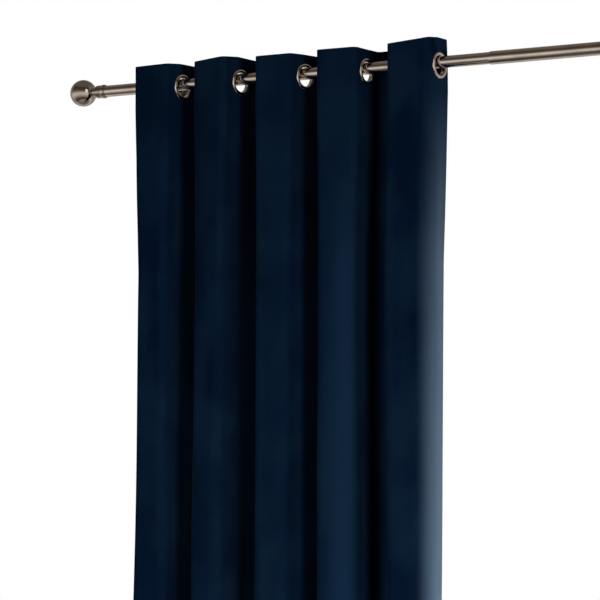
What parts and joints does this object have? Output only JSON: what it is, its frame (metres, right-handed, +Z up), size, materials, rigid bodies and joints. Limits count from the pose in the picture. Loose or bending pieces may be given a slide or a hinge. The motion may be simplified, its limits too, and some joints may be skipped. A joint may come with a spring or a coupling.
{
  "type": "eyelet curtain on a telescopic pole",
  "caption": "Velvet eyelet curtain gathered in soft folds on a telescopic metal pole with ball finials, held by two wall brackets.",
  "frame": {"origin": "centre of the left wall bracket's back face, which lies on the wall", "axes": "+X along the pole to the right, +Y into the wall, +Z up; the pole's axis is 90 mm in front of the wall at z = 0"},
  "size_m": [2.2474, 0.1451, 2.291],
  "materials": {
    "satin_nickel": "satin",
    "bright_nickel": "polished",
    "eyelet_nickel": "polished",
    "steel": "zinc plated",
    "grey_plastic": "moulded",
    "navy_velvet": "short-pile velvet",
    "buckram": "stiffened cotton",
    "lining_sateen": "woven sateen"
  },
  "bodies": {
    "pole_and_curtain": {"inner_tube": "satin_nickel", "inner_tube_guide": "grey_plastic", "finial_left_ball": "bright_nickel", "finial_left_collar": "bright_nickel", "finial_left_ring": "satin_nickel", "finial_left_stud": "steel", "finial_left_plug": "grey_plastic", "bracket_left_plate": "satin_nickel", "bracket_left_arm": "satin_nickel", "bracket_left_cup": "satin_nickel", "bracket_left_lock_screw": "steel", "curtain_face": "navy_velvet", "curtain_heading_stiffener": "buckram", "curtain_lining": "lining_sateen", "eyelet_1_front": "eyelet_nickel", "eyelet_1_back": "eyelet_nickel"},
    "outer_pole": {"outer_tube": "satin_nickel", "finial_right_ball": "bright_nickel", "finial_right_collar": "bright_nickel", "finial_right_ring": "satin_nickel", "finial_right_stud": "steel", "finial_right_plug": "grey_plastic", "bracket_right_plate": "satin_nickel", "bracket_right_arm": "satin_nickel", "bracket_right_cup": "satin_nickel", "bracket_right_lock_screw": "steel"},
    "eyelet_2": {"eyelet_2_front": "eyelet_nickel", "eyelet_2_back": "eyelet_nickel"},
    "eyelet_3": {"eyelet_3_front": "eyelet_nickel", "eyelet_3_back": "eyelet_nickel"},
    "eyelet_4": {"eyelet_4_front": "eyelet_nickel", "eyelet_4_back": "eyelet_nickel"},
    "eyelet_5": {"eyelet_5_front": "eyelet_nickel", "eyelet_5_back": "eyelet_nickel"},
    "eyelet_6": {"eyelet_6_front": "eyelet_nickel", "eyelet_6_back": "eyelet_nickel"},
    "eyelet_7": {"eyelet_7_front": "eyelet_nickel", "eyelet_7_back": "eyelet_nickel"},
    "eyelet_8": {"eyelet_8_front": "eyelet_nickel", "eyelet_8_back": "eyelet_nickel"},
    "eyelet_9": {"eyelet_9_front": "eyelet_nickel", "eyelet_9_back": "eyelet_nickel"},
    "eyelet_10": {"eyelet_10_front": "eyelet_nickel", "eyelet_10_back": "eyelet_nickel"}
  },
  "joints": [
    {"name": "pole_extend", "type": "slide", "parent": "pole_and_curtain", "child": "outer_pole", "axis": [1, 0, 0], "range_m": [-0.6, 0.1]},
    {"name": "curtain_draw", "type": "slide", "parent": "pole_and_curtain", "child": "eyelet_10", "axis": [1, 0, 0], "range_m": [-0.25, 0.45], "deforming": ["curtain_face", "curtain_heading_stiffener", "curtain_lining"]},
    {"name": "eyelet_2_slide", "type": "slide", "parent": "pole_and_curtain", "child": "eyelet_2", "axis": [1, 0, 0], "range_m": [-0.0339, 0.0602]},
    {"name": "eyelet_3_slide", "type": "slide", "parent": "pole_and_curtain", "child": "eyelet_3", "axis": [1, 0, 0], "range_m": [-0.0546, 0.0975]},
    {"name": "eyelet_4_slide", "type": "slide", "parent": "pole_and_curtain", "child": "eyelet_4", "axis": [1, 0, 0], "range_m": [-0.0842, 0.1508]},
    {"name": "eyelet_5_slide", "type": "slide", "parent": "pole_and_curtain", "child": "eyelet_5", "axis": [1, 0, 0], "range_m": [-0.1055, 0.189]},
    {"name": "eyelet_6_slide", "type": "slide", "parent": "pole_and_curtain", "child": "eyelet_6", "axis": [1, 0, 0], "range_m": [-0.1394, 0.2501]},
    {"name": "eyelet_7_slide", "type": "slide", "parent": "pole_and_curtain", "child": "eyelet_7", "axis": [1, 0, 0], "range_m": [-0.157, 0.2818]},
    {"name": "eyelet_8_slide", "type": "slide", "parent": "pole_and_curtain", "child": "eyelet_8", "axis": [1, 0, 0], "range_m": [-0.1909, 0.3429]},
    {"name": "eyelet_9_slide", "type": "slide", "parent": "pole_and_curtain", "child": "eyelet_9", "axis": [1, 0, 0], "range_m": [-0.2176, 0.3908]}
  ],
  "couplings": [
    {"joint": "eyelet_2_slide", "follows": "curtain_draw", "ratio": 0.13162},
    {"joint": "eyelet_3_slide", "follows": "curtain_draw", "ratio": 0.21448},
    {"joint": "eyelet_4_slide", "follows": "curtain_draw", "ratio": 0.33287},
    {"joint": "eyelet_5_slide", "follows": "curtain_draw", "ratio": 0.41783},
    {"joint": "eyelet_6_slide", "follows": "curtain_draw", "ratio": 0.55362},
    {"joint": "eyelet_7_slide", "follows": "curtain_draw", "ratio": 0.62396},
    {"joint": "eyelet_8_slide", "follows": "curtain_draw", "ratio": 0.75975},
    {"joint": "eyelet_9_slide", "follows": "curtain_draw", "ratio": 0.8663}
  ]
}
